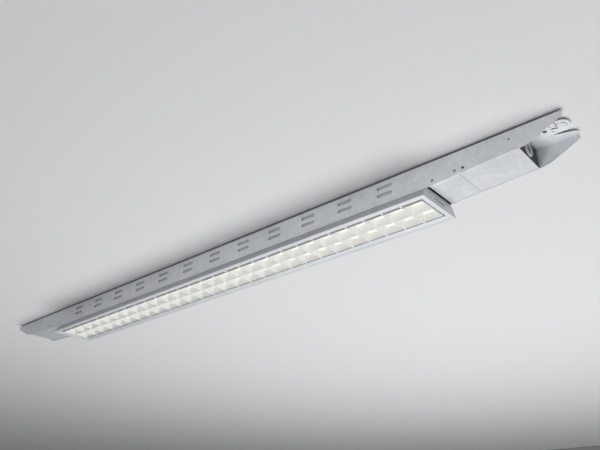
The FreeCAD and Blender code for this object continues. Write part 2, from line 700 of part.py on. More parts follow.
def add_tab_holes(body):
    """Holes in the housing's top for the end plates' rivets."""
    holes = new_sketch(body, "tab_holes", "XY_Plane")
    for side in (1, -1):
        for across in (1, -1):
            x = f"{side} * {tab_rivet_x()}"
            draw_circle(holes, x, f"{across} * end_rivet_spread / 2",
                        "rivet_radius + rivet_clearance")
    pocket(body, holes)


def make_end_plate(name, side):
    """An end plate: the housing's outline, a slot, and a fixing tab under the housing's top."""
    body = new_body(name)
    right = housing_outline()
    right[-1] = (right[-1][0], f"({BEZEL_Z} - end_foot_drop)")
    left = [(f"-{y}", z) for y, z in reversed(right)]
    inner_x = f"({LAMP_X} - end_plate_gauge)"
    face = new_sketch(body, "face", "YZ_Plane", f"{side} * {LAMP_X}")
    draw_outline(face, right + left)
    draw_slot(face, "0", f"{LAMP_TOP} - end_slot_drop", "end_slot_length", "end_slot_breadth")
    pad(body, face, "end_plate_gauge", backwards=side > 0)
    tab = new_sketch(body, "tab", "XY_Plane", LAMP_INNER_TOP)
    draw_rectangle(
        tab, f"{side} * ({LAMP_X} - end_tab_length)", f"{side} * {inner_x}",
        "-end_tab_width / 2", "end_tab_width / 2",
    )
    for across in (1, -1):
        draw_circle(tab, f"{side} * {tab_rivet_x()}", f"{across} * end_rivet_spread / 2",
                    "rivet_radius + rivet_clearance")
    pad(body, tab, "end_plate_gauge", backwards=True)


def make_tab_rivets():
    """Rivets through the housing's top and the end plates' tabs."""
    body = new_body("end_plate_rivets")
    under = f"({LAMP_INNER_TOP} - end_plate_gauge)"
    for name, z, radius, length in (
        ("head", LAMP_TOP, "rivet_head_radius", "rivet_head_height"),
        ("shank", under, "rivet_radius", f"{LAMP_TOP} - {under}"),
    ):
        sketch = new_sketch(body, name, "XY_Plane", z)
        for side in (1, -1):
            for across in (1, -1):
                draw_polygon(sketch, f"{side} * {tab_rivet_x()}",
                             f"{across} * end_rivet_spread / 2", radius)
        pad(body, sketch, length)


def loft_between(body, kind, name, first, last):
    """Add or cut a straight-sided form between two sketches."""
    form = body.newObject(f"PartDesign::{kind}Loft", f"{body.Name}_{name}")
    form.Profile = (first, [""])
    form.Sections = [(last, [""])]
    form.Ruled = True
    return form


def level_frame(body, name, z, half_x, half_y):
    """A centred rectangle at height z."""
    sketch = new_sketch(body, name, "XY_Plane", z)
    draw_rectangle(sketch, f"-({half_x})", half_x, f"-({half_y})", half_y)
    return sketch


def make_bezel():
    """The bezel frame: a crowned rim with a ridge and a slope up beside the louvre."""
    body = new_body("bezel_frame")
    rim_x, rim_y = f"({LAMP_X} - end_plate_gauge)", "(lamp_width / 2)"
    pad(body, level_frame(body, "rim", BEZEL_EDGE_Z, rim_x, rim_y), "bezel_edge")
    crown_x, crown_y = f"{OPENING_X} + bezel_ridge", f"{OPENING_Y} + bezel_ridge"
    loft_between(
        body, "Additive", "crown",
        level_frame(body, "crown_edge", BEZEL_EDGE_Z, rim_x, rim_y),
        level_frame(body, "crown_ridge", BEZEL_Z, crown_x, crown_y),
    )
    # The slope's share of its breadth where it passes the rim's upper face.
    share = f"(({LAMP_LIP_Z} - {BEZEL_Z}) / bezel_rise)"
    low_x = f"{OPENING_X} - bezel_end_slope * {share} + bezel_flange"
    low_y = f"{OPENING_Y} - bezel_side_slope * {share} + bezel_flange"
    loft_between(
        body, "Additive", "slope",
        level_frame(body, "slope_foot", LAMP_LIP_Z, low_x, low_y),
        level_frame(body, "slope_top", BEZEL_TOP_Z, f"{THROAT_X} + bezel_flange",
                    f"{THROAT_Y} + bezel_flange"),
    )
    loft_between(
        body, "Subtractive", "opening",
        level_frame(body, "opening_ridge", BEZEL_Z, OPENING_X, OPENING_Y),
        level_frame(body, "opening_throat", BEZEL_TOP_Z, THROAT_X, THROAT_Y),
    )


def make_bezel_clips():
    """Spring clips on the bezel's rim that hook over the housing's lips."""
    body = new_body("bezel_clips")
    lip_y = "(lamp_width / 2 - lamp_lip)"
    top = f"({LAMP_LIP_Z} + lamp_gauge)"
    pitch = "(lamp_length / (clip_count + 1))"
    first = row_start("clip_count", pitch)
    profile = new_sketch(body, "profile", "YZ_Plane", first)
    inner_y = f"({lip_y} - clip_gauge - clip_clearance)"
    draw_outline(profile, [
        (inner_y, LAMP_LIP_Z),
        (f"{inner_y} + clip_gauge", LAMP_LIP_Z),
        (f"{inner_y} + clip_gauge", top),
        (f"{lip_y} + clip_reach / 2", top),
        (f"{lip_y} + clip_reach / 2", f"{top} + clip_gauge"),
        (inner_y, f"{top} + clip_gauge"),
    ])
    clip = pad(body, profile, "clip_width", both_ways=True)
    steps = body.newObject("PartDesign::MultiTransform", "bezel_clips_all")
    steps.Originals = [clip]
    row = body.newObject("PartDesign::LinearPattern", "bezel_clips_row")
    row.Direction = (origin_axis(body, "X_Axis"), [""])
    row.setExpression("Length", tie(f"(clip_count - 1) * {pitch}"))
    row.setExpression("Occurrences", tie("clip_count"))
    flip = body.newObject("PartDesign::Mirrored", "bezel_clips_flip")
    flip.MirrorPlane = (origin_plane(body, "XZ_Plane"), [""])
    steps.Transformations = [row, flip]
    body.Tip = steps


def origin_axis(body, role):
    """One of the body's own origin axes, by its role."""
    return next(item for item in body.Origin.OriginFeatures if item.Role == role)


def make_louvre():
    """The white louvre: two rows of tapered cells between thin blades, hung on the bezel."""
    body = new_body("louvre")
    half_x = f"(cell_columns * {CELL_PITCH} / 2 + louvre_rim)"
    block = level_frame(body, "block", LOUVRE_Z, half_x, LOUVRE_Y)
    blank = pad(body, block, f"{BOARD_Z} - {LOUVRE_Z}")
    blank.setExpression("TaperAngle", tie("-louvre_draft"))
    cells = new_sketch(body, "cells", "XY_Plane", LOUVRE_Z)
    first = row_start("cell_columns", CELL_PITCH)
    half_cell = f"({CELL_PITCH} - blade_thickness) / 2"
    for side in (1, -1):
        draw_rectangle(
            cells, f"{first} - {half_cell}", f"{first} + {half_cell}",
            *sorted_pair(side, "blade_thickness / 2", f"{LOUVRE_Y} - louvre_rim"),
        )
    cut = body.newObject("PartDesign::Pocket", "louvre_cells_cut")
    cut.Profile = cells
    cut.Reversed = True
    cut.setExpression("Length", tie(f"{BOARD_Z} - {LOUVRE_Z}"))
    cut.setExpression("TaperAngle", tie("-blade_taper"))
    repeat(body, [cut], cells, "cell_columns", CELL_PITCH)
    hangers = new_sketch(body, "hangers", "XY_Plane", BEZEL_TOP_Z)
    first = row_start("cell_columns - 1", CELL_PITCH)
    for side in (1, -1):
        draw_rectangle(
            hangers, f"{first} - hanger_width / 2", f"{first} + hanger_width / 2",
            *sorted_pair(side, f"{LOUVRE_Y} - louvre_rim / 2", f"{THROAT_Y} + hanger_seat"),
        )
    hanger = pad(body, hangers, "hanger_height")
    repeat(body, [hanger], hangers, "cell_columns - 1", CELL_PITCH)


def sorted_pair(side, near, far):
    """The two limits on one side of the middle, lower first."""
    return (near, far) if side > 0 else (f"-({far})", f"-({near})")


def make_heat_plate():
    """The aluminium plate that carries the LED boards, with tapped holes."""
    body = new_body("heat_plate")
    plate = new_sketch(body, "plate", "XY_Plane", LAMP_INNER_TOP)
    half_x = f"(board_count * {BOARD_PITCH} / 2)"
    draw_rectangle(plate, f"-{half_x}", half_x, f"-{PLATE_Y}", PLATE_Y)
    pad(body, plate, "heat_plate_gauge", backwards=True)
    add_screw_holes(body, "screw_radius")


def make_boards():
    """Ten LED boards, five to a row."""
    count = int(value("board_count"))
    for row, side in (("front", -1), ("rear", 1)):
        for index in range(count):
            box = doc.addObject("Part::Box", f"led_board_{row}_{index + 1}")
            box.Label = box.Name
            box.setExpression("Length", tie(f"{BOARD_PITCH} - board_gap"))
            box.setExpression("Width", tie(BOARD_WIDTH))
            box.setExpression("Height", tie("board_gauge"))
            start = f"({index} - board_count / 2) * {BOARD_PITCH} + board_gap / 2"
            box.setExpression("Placement.Base.x", tie(start))
            across = f"{side} * board_row_gap / 2 - {(1 - side) // 2} * {BOARD_WIDTH}"
            box.setExpression("Placement.Base.y", tie(across))
            box.setExpression("Placement.Base.z", tie(BOARD_Z))
            NODES.append(box)


def make_tray():
    """The gear tray: a folded channel that stands on the housing inside the trunking."""
    body = new_body("gear_tray")
    inner, inner_bend = f"({TRAY_Y} - tray_gauge)", "tray_bend - tray_gauge"
    top = f"({LAMP_TOP} + tray_side)"
    section = new_sketch(body, "section", "YZ_Plane")
    draw_outline(section, [
        (f"-{TRAY_Y}", LAMP_TOP, "tray_bend"),
        (TRAY_Y, LAMP_TOP, "tray_bend"),
        (TRAY_Y, top),
        (inner, top),
        (inner, TRAY_Z, inner_bend),
        (f"-{inner}", TRAY_Z, inner_bend),
        (f"-{inner}", top),
        (f"-{TRAY_Y}", top),
    ])
    pad(body, section, "lamp_length - 2 * tray_margin", both_ways=True)
    add_screw_holes(body, "screw_radius + screw_clearance")


def make_tray_screws():
    """Screws down through tray and housing into the heat plate."""
    body = new_body("tray_screws")
    foot = f"({LAMP_INNER_TOP} - heat_plate_gauge)"
    features = []
    for name, z, radius, length in (
        ("head", TRAY_Z, "screw_head_radius", "screw_head_height"),
        ("shank", foot, "screw_radius", f"{TRAY_Z} - {foot}"),
    ):
        sketch = new_sketch(body, name, "XY_Plane", z)
        for x, y in first_screw_spots():
            draw_polygon(sketch, x, y, radius)
        features.append(pad(body, sketch, length))
    repeat(body, features, sketch, "tray_screw_count", SCREW_PITCH)


def make_springs():
    """Spring clips that hook over the tray's sides and press on the channel's walls."""
    body = new_body("tray_springs")
    wall = "(trunk_width / 2 - trunk_gauge)"
    top = f"({LAMP_TOP} + tray_side)"
    inner = f"({TRAY_Y} - tray_gauge - spring_gauge)"
    first = row_start("spring_count", SPRING_PITCH)
    profile = new_sketch(body, "profile", "YZ_Plane", first)
    draw_outline(profile, [
        (inner, f"{top} - spring_height / 2"),
        (f"{inner} + spring_gauge", f"{top} - spring_height / 2"),
        (f"{inner} + spring_gauge", top),
        (f"{TRAY_Y}", top),
        (f"{wall} - spring_gauge", f"{top} - spring_height / 3"),
        (f"{TRAY_Y} + spring_gauge / 2", f"{top} - spring_height"),
        (f"{TRAY_Y} + 3 * spring_gauge / 2", f"{top} - spring_height"),
        (wall, f"{top} - spring_height / 3"),
        (f"{TRAY_Y} + spring_gauge", f"{top} + spring_gauge"),
        (inner, f"{top} + spring_gauge"),
    ])
    clip = pad(body, profile, "spring_width", both_ways=True)
    steps = body.newObject("PartDesign::MultiTransform", "tray_springs_all")
    steps.Originals = [clip]
    row = body.newObject("PartDesign::LinearPattern", "tray_springs_row")
    row.Direction = (origin_axis(body, "X_Axis"), [""])
    row.setExpression("Length", tie(f"(spring_count - 1) * {SPRING_PITCH}"))
    row.setExpression("Occurrences", tie("spring_count"))
    flip = body.newObject("PartDesign::Mirrored", "tray_springs_flip")
    flip.MirrorPlane = (origin_plane(body, "XZ_Plane"), [""])
    steps.Transformations = [row, flip]
    body.Tip = steps


def driver_middle(side):
    """The middle of a driver along the lamp."""
    return f"({side} * ({LAMP_X} - driver_inset))"


def driver_ear_x(side, end):
    """The middle of one of a driver's two fixing ears."""
    return f"({driver_middle(side)} + {end} * (driver_length + driver_ear) / 2)"


def make_driver(name, side):
    """An LED driver: a slim case with a fixing ear at each end."""
    body = new_body(name)
    middle = driver_middle(side)
    case = new_sketch(body, "case", "YZ_Plane", f"{middle} - driver_length / 2")
    top = f"{TRAY_Z} + driver_height"
    draw_outline(case, [
        ("-driver_width / 2", TRAY_Z),
        ("driver_width / 2", TRAY_Z),
        ("driver_width / 2", top, "driver_round"),
        ("-driver_width / 2", top, "driver_round"),
    ])
    pad(body, case, "driver_length")
    ears = new_sketch(body, "ears", "XY_Plane", TRAY_Z)
    reach = "(driver_length / 2 + driver_ear)"
    draw_rectangle(ears, f"{middle} - {reach}", f"{middle} + {reach}",
                   "-driver_width / 3", "driver_width / 3")
    pad(body, ears, "driver_ear_gauge")
    holes = new_sketch(body, "ear_holes", "XY_Plane")
    for end in (1, -1):
        draw_circle(holes, driver_ear_x(side, end), "driver_width / 6",
                    "screw_radius + screw_clearance")
    pocket(body, holes)


def make_driver_screws():
    """Screws through the drivers' ears into the tray."""
    body = new_body("driver_screws")
    ear_top = f"({TRAY_Z} + driver_ear_gauge)"
    for name, z, radius, length in (
        ("head", ear_top, "screw_head_radius", "screw_head_height"),
        ("shank", TRAY_Z, "screw_radius", "driver_ear_gauge"),
    ):
        sketch = new_sketch(body, name, "XY_Plane", z)
        for side in (1, -1):
            for end in (1, -1):
                draw_polygon(sketch, driver_ear_x(side, end), "driver_width / 6", radius)
        pad(body, sketch, length)


def make_terminal_block():
    """The mains terminal block, with a square wire way and a screw well for each way."""
    body = new_body("terminal_block")
    base = new_sketch(body, "base", "XY_Plane", TRAY_Z)
    draw_rectangle(
        base, f"{BLOCK_X} - block_length / 2", f"{BLOCK_X} + block_length / 2",
        "-block_width / 2", "block_width / 2",
    )
    pad(body, base, "block_height")
    first = f"({BLOCK_X} + {row_start('block_ways', 'block_way_pitch')})"
    half_way = "block_way_pitch / 4"
    low_x, high_x = f"{first} - {half_way}", f"{first} + {half_way}"
    middle_z = f"{TRAY_Z} + block_height / 2"
    wires = new_sketch(body, "wires", "XZ_Plane")
    draw_rectangle(wires, low_x, high_x, f"{middle_z} - {half_way}", f"{middle_z} + {half_way}")
    repeat(body, [pocket(body, wires)], wires, "block_ways", "block_way_pitch")
    screws = new_sketch(body, "screws", "XY_Plane", f"{TRAY_Z} + block_height")
    draw_rectangle(screws, low_x, high_x, f"-{half_way}", half_way)
    screw_cut = pocket(body, screws, "block_height / 2")
    repeat(body, [screw_cut], screws, "block_ways", "block_way_pitch")


def make_earth_screw():
    """The earth screw on the tray's floor."""
    body = new_body("earth_screw")
    for name, radius, length in (
        ("washer", "screw_head_radius + 1", "screw_clearance * 8"),
        ("head", "screw_head_radius", "screw_head_height + screw_clearance * 8"),
    ):
        sketch = new_sketch(body, name, "XY_Plane", TRAY_Z)
        draw_polygon(sketch, f"{LAMP_X} - earth_inset", "0", radius)
        pad(body, sketch, length)


def check_document():
    """Stop if any object failed or any node's shape is empty or broken."""
    for item in doc.Objects:
        if "Invalid" in item.State or "Error" in item.State:
            raise RuntimeError(f"{item.Name} failed: {item.State}")
    for node in NODES:
        if node.Shape.isNull() or not node.Shape.isValid() or not node.Shape.Solids:
            raise RuntimeError(f"{node.Label} has no valid solid")


def write_nodes():
    """Write each node's shape to its own file."""
    os.makedirs("parts", exist_ok=True)
    for node in NODES:
        node.Shape.exportStep(f"parts/{node.Label}.step")
        box = node.Shape.BoundBox
        print(f"{node.Label}: {len(node.Shape.Solids)} solids, {node.Shape.Volume:.0f} mm3,"
              f" z {box.ZMin:.2f} to {box.ZMax:.2f}")


make_channel()
make_short_cover("short_cover_right", 1)
make_short_cover("short_cover_left", -1)
make_long_cover("long_cover_right", 1)
make_long_cover("long_cover_left", -1)
make_bush("cable_bush_right", 1)
make_bush("cable_bush_left", -1)
make_rivets()
make_housing()
make_end_plate("end_plate_right", 1)
make_end_plate("end_plate_left", -1)
make_tab_rivets()
make_bezel()
make_bezel_clips()
make_louvre()
make_heat_plate()
make_boards()
make_tray()
make_tray_screws()
make_springs()
make_driver("led_driver_right", 1)
make_driver("led_driver_left", -1)
make_driver_screws()
make_terminal_block()
make_earth_screw()
doc.recompute()
check_document()
write_nodes()
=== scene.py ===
import json
import math

import bmesh
import bpy
from mathutils import Euler, Matrix, Vector


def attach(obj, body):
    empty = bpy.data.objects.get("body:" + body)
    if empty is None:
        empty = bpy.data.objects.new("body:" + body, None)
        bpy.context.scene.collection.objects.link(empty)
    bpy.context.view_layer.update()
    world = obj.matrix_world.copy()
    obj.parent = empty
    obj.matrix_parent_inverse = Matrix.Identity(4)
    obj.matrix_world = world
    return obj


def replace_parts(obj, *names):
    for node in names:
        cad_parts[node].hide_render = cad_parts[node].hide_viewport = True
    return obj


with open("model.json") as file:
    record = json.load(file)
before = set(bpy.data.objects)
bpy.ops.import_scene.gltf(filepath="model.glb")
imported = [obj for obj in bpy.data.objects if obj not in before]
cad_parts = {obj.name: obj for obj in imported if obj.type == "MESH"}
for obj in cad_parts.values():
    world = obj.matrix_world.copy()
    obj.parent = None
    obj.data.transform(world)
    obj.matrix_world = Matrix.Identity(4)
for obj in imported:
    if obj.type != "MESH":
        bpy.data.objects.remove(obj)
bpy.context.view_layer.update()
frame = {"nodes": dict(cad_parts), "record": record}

# Sizes below are in metres. The channel's top face lies at z = 0, just under the ceiling.
CEILING_GAP = 0.0045
STAGE_SPAN = 9.0
FLOOR_DROP = 2.4
CAMERA_PLACE = (1.2564, -1.0924, -0.7281)
CAMERA_YAW = 0.7103
CAMERA_PITCH = 0.4702
LENS_MM = 38.15
SENSOR_MM = 36.0
NEAREST_SEEN = 0.01

# Lamps: place, the point that they face, size and watts.
LAMPS = {
    "under": ((0.5, 0.9, -2.3), (0.5, 0.9, 0), (3.4, 3.4), 62),
    "near": ((0.35, -1.3, -0.9), (0.8, 0, 0), (0.4, 0.4), 8),
    "steep": ((0.7, -1.1, -1.8), (0.8, 0, 0), (0.4, 0.3), 7),
    "right": ((1.45, -1.1, -2.0), (0.5, 0, 0), (0.6, 0.5), 24),
    "above": ((0, 0, 2.2), (0, 0, 0), (3.0, 3.0), 8),
}
SKY_COLOUR = (0.94, 0.97, 1.0, 1)
SKY_STRENGTH = 0.15

# The louvre: columns of cells, their pitch, the blades, and the outer walls with their slope.
CELL_COLUMNS = 28
CELL_PITCH = 0.04935
BLADE = 0.0022
BLADE_EASE = 0.0004
LOUVRE_FOOT = -0.081
LOUVRE_TOP = -0.0636
LOUVRE_HALF_X = 0.6924
LOUVRE_HALF_Y = 0.0438
LOUVRE_RIM = 0.0012
LOUVRE_DRAFT = 0.0009
WELL_INSET = 0.0058
# The hangers at the ends of the blades: width, inner and outer place across, foot and top.
HANGER = (0.0030, 0.0432, 0.0515, -0.0795, -0.0779)
# One LED behind each well: place across, half its width, and its height.
CHIP = (0.0225, 0.0025, 0.0012)

# Rivets in the channel's walls: distance from the middle, height, and size of a head.
RIVETS = ((0.7225, -0.0459), (0.7745, -0.0432))
RIVET_HEAD = 0.0036
RIVET_DOME = 0.0012
# Painted shade for the mandrel hole in a head, a near-black dome, in shares of the head: how far
# out it starts, its radius, its dome.
HOLE_SHADE = (0.62, 0.45, 0.35)
# Painted shade in the wall's open hole, a near-black dome: place, height, radius, dome, and how
# deep it sits.
WALL_HOLE_SHADE = (0.793, -0.0423, 0.0029, 0.0006, 0.0012)
WALL_Y = 0.05
# A dome is cut from a ball: its spokes and rings, and the shares of its height that are kept.
DOME_SPOKES = 20
DOME_RINGS = 8
DOME_KEPT = (-0.1, 0.95)

# Where the faces in shadow start: the long covers' outer ends and the bezel's opening.
COVER_END_X = 0.9113
THROAT_HALF_X = 0.6965
THROAT_HALF_Y = 0.0502

# Galvanised sheet: tint, how fine its patches and flakes are, and how far roughness varies.
ZINC_TINT = (0.955, 0.99, 1.03)
PATCH_SCALE = 9
FLAKE_SCALE = 85
ROUGHNESS_SPREAD = 0.06
# Plastic and bare metal: how fine their tones are, and the darker tone's share of the lighter.
PLASTIC_TONE_SCALE = 30
PLASTIC_DARKER = 0.96
METAL_TONE_SCALE = 250
METAL_DARKER = 0.92
# Grain of sheet and of plastic: how fine, how strong and how deep.
SHEET_GRAIN = (900, 0.08, 0.0003)
PLASTIC_GRAIN = (600, 0.05, 0.0002)

# Nodes that wear a lighter or darker copy of galvanised steel instead of the material of their
# slot: painted light on the end plates, painted shade on the housing, tray and covers.
PAINTED_LIGHT_AND_SHADE = {
    "lamp_housing": "housing_painted_shade",
    "gear_tray": "tray_painted_shade",
    "end_plate_right": "plate_painted_light",
    "end_plate_left": "plate_painted_light",
    "long_cover_right": "cover_painted_shade",
    "long_cover_left": "cover_painted_shade",
    "short_cover_right": "cover_painted_shade",
    "short_cover_left": "cover_painted_shade",
}


# ---------------------------------------------------------------- materials

class Shader:
    """A node material with short calls for the nodes used here."""

    def __init__(self, name):
        self.material = bpy.data.materials.new(name)
        self.material.use_nodes = True
        self.nodes = self.material.node_tree.nodes
        self.links = self.material.node_tree.links
        self.surface = self.nodes["Principled BSDF"]
        self.place = self.nodes.new("ShaderNodeTexCoord").outputs["Object"]

    def link(self, source, target):
        self.links.new(source, target)

    def noise(self, scale, detail, stretch=(1, 1, 1)):
        """Noise in object space, finer as scale rises."""
        mapping = self.nodes.new("ShaderNodeMapping")
        mapping.inputs["Scale"].default_value = stretch
        self.link(self.place, mapping.inputs["Vector"])
        node = self.nodes.new("ShaderNodeTexNoise")
        node.inputs["Scale"].default_value = scale
        node.inputs["Detail"].default_value = detail
        self.link(mapping.outputs["Vector"], node.inputs["Vector"])
        return node.outputs["Fac"]

    def flakes(self, scale):
        """Flat patches of random shade, as zinc crystals have."""
        node = self.nodes.new("ShaderNodeTexVoronoi")
        node.inputs["Scale"].default_value = scale
        self.link(self.place, node.inputs["Vector"])
        shade = self.nodes.new("ShaderNodeRGBToBW")
        self.link(node.outputs["Color"], shade.inputs["Color"])
        return shade.outputs["Val"]

    def ramp(self, source, low, high, first, last):
        """Colours between two, as the source goes from low to high."""
        node = self.nodes.new("ShaderNodeValToRGB")
        start, stop = node.color_ramp.elements
        start.position, stop.position = low, high
        start.color, stop.color = (*first, 1), (*last, 1)
        self.link(source, node.inputs["Fac"])
        return node.outputs["Color"]

    def multiply(self, first, second):
        """The product of two colours."""
        node = self.nodes.new("ShaderNodeMix")
        node.data_type = "RGBA"
        node.blend_type = "MULTIPLY"
        node.inputs["Factor"].default_value = 1.0
        self.link(first, node.inputs["A"])
        self.link(second, node.inputs["B"])
        return node.outputs["Result"]

    def grain(self, scale, strength, depth):
        """Fine unevenness of the surface."""
        node = self.nodes.new("ShaderNodeBump")
        node.inputs["Strength"].default_value = strength
        node.inputs["Distance"].default_value = depth
        self.link(self.noise(scale, 2), node.inputs["Height"])
        self.link(node.outputs["Normal"], self.surface.inputs["Normal"])

    def colour(self, source):
        self.link(source, self.surface.inputs["Base Color"])

    def set(self, **values):
        """Plain values on the surface's own sockets."""
        for name, number in values.items():
            self.surface.inputs[name.replace("_", " ")].default_value = number


def grey(level, tint=(1, 1, 1)):
    """A colour of one brightness with a faint tint."""
    return tuple(level * share for share in tint)


def galvanised(name, low, high, metallic=0.3, roughness=0.5, flake_depth=0.05):
    """Zinc-coated sheet: faint flakes, cloudy patches and a fine grain."""
    shader = Shader(name)
    patches = shader.noise(PATCH_SCALE, 3)
    cloud = shader.ramp(patches, 0.35, 0.65, grey(low, ZINC_TINT), grey(high, ZINC_TINT))
    flakes = shader.flakes(FLAKE_SCALE)
    shades = shader.ramp(flakes, 0.1, 0.9, grey(1.0 - 2 * flake_depth), grey(1.0))
    shader.colour(shader.multiply(cloud, shades))
    smooth, rough = roughness - ROUGHNESS_SPREAD, roughness + ROUGHNESS_SPREAD
    spread = shader.ramp(flakes, 0.0, 1.0, grey(smooth), grey(rough))
    shader.link(spread, shader.surface.inputs["Roughness"])
    shader.grain(*SHEET_GRAIN)
    shader.set(Metallic=metallic)
    return shader.material


def plastic(name, colour, roughness=0.45):
    """Moulded plastic with a faint uneven tone."""
    shader = Shader(name)
    darker = tuple(share * PLASTIC_DARKER for share in colour)
    shader.colour(shader.ramp(shader.noise(PLASTIC_TONE_SCALE, 2), 0.3, 0.7, darker, colour))
    shader.grain(*PLASTIC_GRAIN)
    shader.set(Roughness=roughness)
    return shader.material


def bare_metal(name, level):
    """Plain machined or plated metal, its tone drawn out along x."""
    shader = Shader(name)
    tone = shader.noise(METAL_TONE_SCALE, 3, (0.2, 1, 1))
    shader.colour(shader.ramp(tone, 0.3, 0.7, grey(level * METAL_DARKER), grey(level)))
    shader.set(Metallic=0.9, Roughness=0.35)
    return shader.material


def make_materials():
    """A material for each slot of the record, and lighter and darker copies that paint light and
    shade on some nodes and faces.
    """
    return {
        "galvanised_steel": galvanised("galvanised_steel", 0.68, 0.75),
        # Darker copy of galvanised steel: painted shade on the lamp housing's flared sides.
        "housing_painted_shade": galvanised("housing_painted_shade", 0.44, 0.50),
        "shaded_steel": galvanised("shaded_steel", 0.06, 0.08, 0.0, 0.7),
        # Lighter copy of galvanised steel: painted light on the end plates.
        "plate_painted_light": galvanised("plate_painted_light", 0.78, 0.84, 0.2),
        # Darker copy of galvanised steel: painted shade on the down-facing covers.
        "cover_painted_shade": galvanised("cover_painted_shade", 0.58, 0.66),
        # Darker copy of galvanised steel: painted shade on the gear tray seen through the vents.
        "tray_painted_shade": galvanised("tray_painted_shade", 0.48, 0.54),
        "bezel_steel": galvanised("bezel_steel", 0.61, 0.65, 0.15, 0.45, 0.01),
        "louvre_plastic": plastic("louvre_plastic", (0.84, 0.835, 0.815), 0.55),
        # Darker grey on the blades' undersides: painted shade for the dark lines along the blades.
        "blade_foot_painted_shade": plastic("blade_foot_painted_shade", (0.52, 0.52, 0.51), 0.55),
        "bush_plastic": plastic("bush_plastic", (0.72, 0.72, 0.74)),
        "plate_aluminium": bare_metal("plate_aluminium", 0.75),
        "board_laminate": plastic("board_laminate", (0.9, 0.9, 0.84), 0.35),
        "driver_plastic": plastic("driver_plastic", (0.8, 0.8, 0.8)),
        "block_plastic": plastic("block_plastic", (0.75, 0.75, 0.7)),
        "fastener_steel": bare_metal("fastener_steel", 0.35),
        # Near-black: painted shade in the rivets' mandrel holes and the wall's open holes.
        "rivet_hole_painted_shade": bare_metal("rivet_hole_painted_shade", 0.03),
        "led_phosphor": plastic("led_phosphor", (0.85, 0.70, 0.30)),
        "spring_steel": bare_metal("spring_steel", 0.4),
    }


def dress(piece, material):
    """Give every face of a piece one material."""
    piece.data.materials.clear()
    piece.data.materials.append(material)


def dress_some(piece, material, chosen):
    """Give the faces that pass a test another material."""
    piece.data.materials.append(material)
    for face in piece.data.polygons:
        if chosen(face):
            face.material_index = 1


def is_cover_end(face):
    """A face at a long cover's outer end that looks out along x."""
    return abs(face.normal.x) > 0.95 and abs(face.center.x) > COVER_END_X


def is_throat(face):
    """An upright face inside the bezel's opening."""
    x, y, _ = face.center
    return abs(face.normal.z) < 0.3 and abs(y) < THROAT_HALF_Y and abs(x) < THROAT_HALF_X


def is_blade_foot(face):
    """A face on the underside of the louvre's blades, where painted shade goes."""
    return face.normal.z < -0.99 and face.center.z < LOUVRE_FOOT + BLADE_EASE / 2


def dress_nodes():
    """Dress the solids: by slot, then the copies with painted light or shade, then painted shade
    on the faces in shadow.
    """
    nodes = frame["nodes"]
    for part in frame["record"]["subparts"]:
        dress(nodes[part["node"]], MATERIALS[part["material_slot"]])
    for name, shade in PAINTED_LIGHT_AND_SHADE.items():
        dress(nodes[name], MATERIALS[shade])
    for name in ("long_cover_right", "long_cover_left"):
        dress_some(nodes[name], MATERIALS["shaded_steel"], is_cover_end)
    dress_some(nodes["bezel_frame"], MATERIALS["shaded_steel"], is_throat)


# ---------------------------------------------------------------- detailed pieces

def finish_piece(name, shape, slot):
    """Turn a bmesh into a piece of the object that wears a material slot."""
    bmesh.ops.recalc_face_normals(shape, faces=shape.faces)
    mesh = bpy.data.meshes.new(name)
    shape.to_mesh(mesh)
    shape.free()
    piece = bpy.data.objects.new(name, mesh)
    bpy.context.scene.collection.objects.link(piece)
    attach(piece, "root")
    dress(piece, MATERIALS[slot])
    return piece


def box(shape, low, high):
    """Add a box between two corners."""
    made = bmesh.ops.create_cube(shape, size=1.0)["verts"]
    for vert in made:
        vert.co = [(a + b) / 2 + c * (b - a) for a, b, c in zip(low, high, vert.co)]


def louvre_lines():
    """The louvre's grid lines: (lower place, upper place) along x, and the same across."""
    along = [(-LOUVRE_HALF_X, -LOUVRE_HALF_X + LOUVRE_DRAFT)]
    for column in range(CELL_COLUMNS):
        left = (column - CELL_COLUMNS / 2) * CELL_PITCH + BLADE / 2
        right = left + CELL_PITCH - BLADE
        along += [(left, left + WELL_INSET), (right, right - WELL_INSET)]
    along.append((LOUVRE_HALF_X, LOUVRE_HALF_X - LOUVRE_DRAFT))
    edge = LOUVRE_HALF_Y - LOUVRE_RIM
    half = [(BLADE / 2, BLADE / 2 + WELL_INSET), (edge, edge - WELL_INSET / 2)]
    half.append((LOUVRE_HALF_Y, LOUVRE_HALF_Y - LOUVRE_DRAFT))
    across = [(-low, -high) for low, high in reversed(half)] + half
    return along, across


def make_wells(shape):
    """Add the louvre's body: a pierced sheet at its foot, drawn up to a narrower one.

    Blades and outer walls fill the even columns and rows of the sheet, wells the odd ones.
    """
    along, across = louvre_lines()
    columns, rows = len(along) - 1, len(across) - 1
    bmesh.ops.create_grid(shape, x_segments=columns, y_segments=rows, size=0.5)
    wells = [face for face in shape.faces
             if int((face.calc_center_median().x + 0.5) * columns) % 2
             and int((face.calc_center_median().y + 0.5) * rows) % 2]
    rims = list({edge for well in wells for edge in well.edges})
    bmesh.ops.delete(shape, geom=wells, context="FACES_ONLY")
    drawn = bmesh.ops.extrude_face_region(shape, geom=shape.faces[:], use_keep_orig=True)["geom"]
    upper = {item for item in drawn if isinstance(item, bmesh.types.BMVert)}
    for vert in shape.verts:
        x_line = along[round((vert.co.x + 0.5) * columns)]
        y_line = across[round((vert.co.y + 0.5) * rows)]
        level = int(vert in upper)
        vert.co = (x_line[level], y_line[level], (LOUVRE_FOOT, LOUVRE_TOP)[level])
    bmesh.ops.bevel(shape, geom=rims, offset=BLADE_EASE, segments=1, affect="EDGES")


